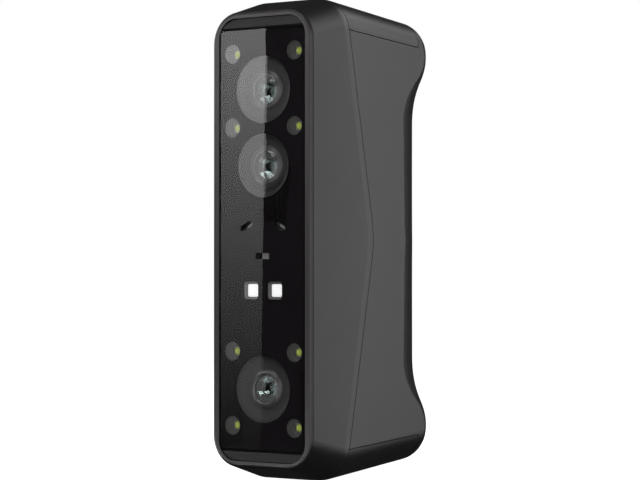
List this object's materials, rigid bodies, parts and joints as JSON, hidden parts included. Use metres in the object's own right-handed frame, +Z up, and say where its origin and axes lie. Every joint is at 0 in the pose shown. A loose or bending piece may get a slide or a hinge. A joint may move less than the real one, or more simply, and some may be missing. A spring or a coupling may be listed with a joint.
{
  "type": "handheld scanner",
  "caption": "Handheld 3D scanner with a waisted casing, a glass front over its cameras, lamps and line lasers, and push buttons on the back.",
  "frame": {"origin": "bottom centre of the casing, standing upright", "axes": "+Z up along the long side, -Y out of the optical window, +X to the right as seen from the front"},
  "size_m": [0.0484, 0.0828, 0.1728],
  "materials": {
    "casing_plastic": "fine-textured moulded, dark warm grey",
    "window_glass": "polished optical cover glass",
    "mask_ink": "black printed film",
    "gasket_rubber": "black foam",
    "trim_plastic": "satin dark grey",
    "black_plastic": "matt black",
    "button_plastic": "soft satin",
    "light_guide": "frosted translucent",
    "circuit_board": "solder mask",
    "steel": "nickel plated",
    "brass": "machined",
    "baffle_plastic": "matt mid grey",
    "lamp_phosphor": "yellow-green phosphor",
    "lens_glass": "coated optical glass",
    "lens_black": "anodised black",
    "aluminium": "machined and bead blasted",
    "chip_black": "moulded epoxy",
    "diffuser_white": "opal",
    "connector_plastic": "natural nylon",
    "flex_film": "amber polyimide"
  },
  "bodies": {
    "casing": {"board_connectors": "connector_plastic", "board_screws": "steel", "bottom_cap": "casing_plastic", "button_board": "circuit_board", "camera_flex_cables": "flex_film", "control_panel": "black_plastic", "frame_screws": "steel", "front_glass": "window_glass", "front_shell": "casing_plastic", "glass_gasket": "gasket_rubber", "heat_spreader": "aluminium", "laser_bracket": "aluminium", "left_diffuser": "diffuser_white", "left_laser_module": "brass", "left_projector": "baffle_plastic", "line_lenses": "lens_glass", "lower_camera_baffle": "baffle_plastic", "lower_front_lens": "lens_glass", "lower_lamp_board": "circuit_board", "lower_lamp_carrier": "baffle_plastic", "lower_lamps": "lamp_phosphor", "lower_lens_barrel": "lens_black", "lower_lens_holder": "black_plastic", "lower_sensor_board": "circuit_board", "lower_trim_strip": "trim_plastic", "main_board": "circuit_board", "memory_chips": "chip_black", "middle_camera_baffle": "baffle_plastic", "middle_front_lens": "lens_glass", "middle_lens_barrel": "lens_black", "middle_lens_holder": "black_plastic", "middle_sensor_board": "circuit_board", "optical_frame": "aluminium", "optics_bezel": "black_plastic", "port_board": "circuit_board", "processor": "chip_black", "projector_board": "circuit_board", "range_sensor": "chip_black", "rear_shell": "casing_plastic", "right_diffuser": "diffuser_white", "right_laser_module": "brass", "right_projector": "baffle_plastic", "status_light_guide": "light_guide", "tact_switches": "steel", "top_cap": "casing_plastic", "tripod_insert": "brass", "upper_camera_baffle": "baffle_plastic", "upper_front_lens": "lens_glass", "upper_lamp_board": "circuit_board", "upper_lamp_carrier": "baffle_plastic", "upper_lamps": "lamp_phosphor", "upper_lens_barrel": "lens_black", "upper_lens_holder": "black_plastic", "upper_sensor_board": "circuit_board", "upper_trim_strip": "trim_plastic", "usb_port": "steel", "window_mask": "mask_ink"},
    "scan_button": {"scan_button": "button_plastic"},
    "plus_button": {"plus_button": "button_plastic"},
    "minus_button": {"minus_button": "button_plastic"}
  },
  "joints": [
    {"name": "scan_press", "type": "slide", "parent": "casing", "child": "scan_button", "axis": [0, -1, 0], "range_m": [0, 0.0005], "stiffness_N_per_m": 4000},
    {"name": "plus_press", "type": "slide", "parent": "casing", "child": "plus_button", "axis": [0, -1, 0], "range_m": [0, 0.0005], "stiffness_N_per_m": 3000},
    {"name": "minus_press", "type": "slide", "parent": "casing", "child": "minus_button", "axis": [0, -1, 0], "range_m": [0, 0.0005], "stiffness_N_per_m": 3000}
  ]
}
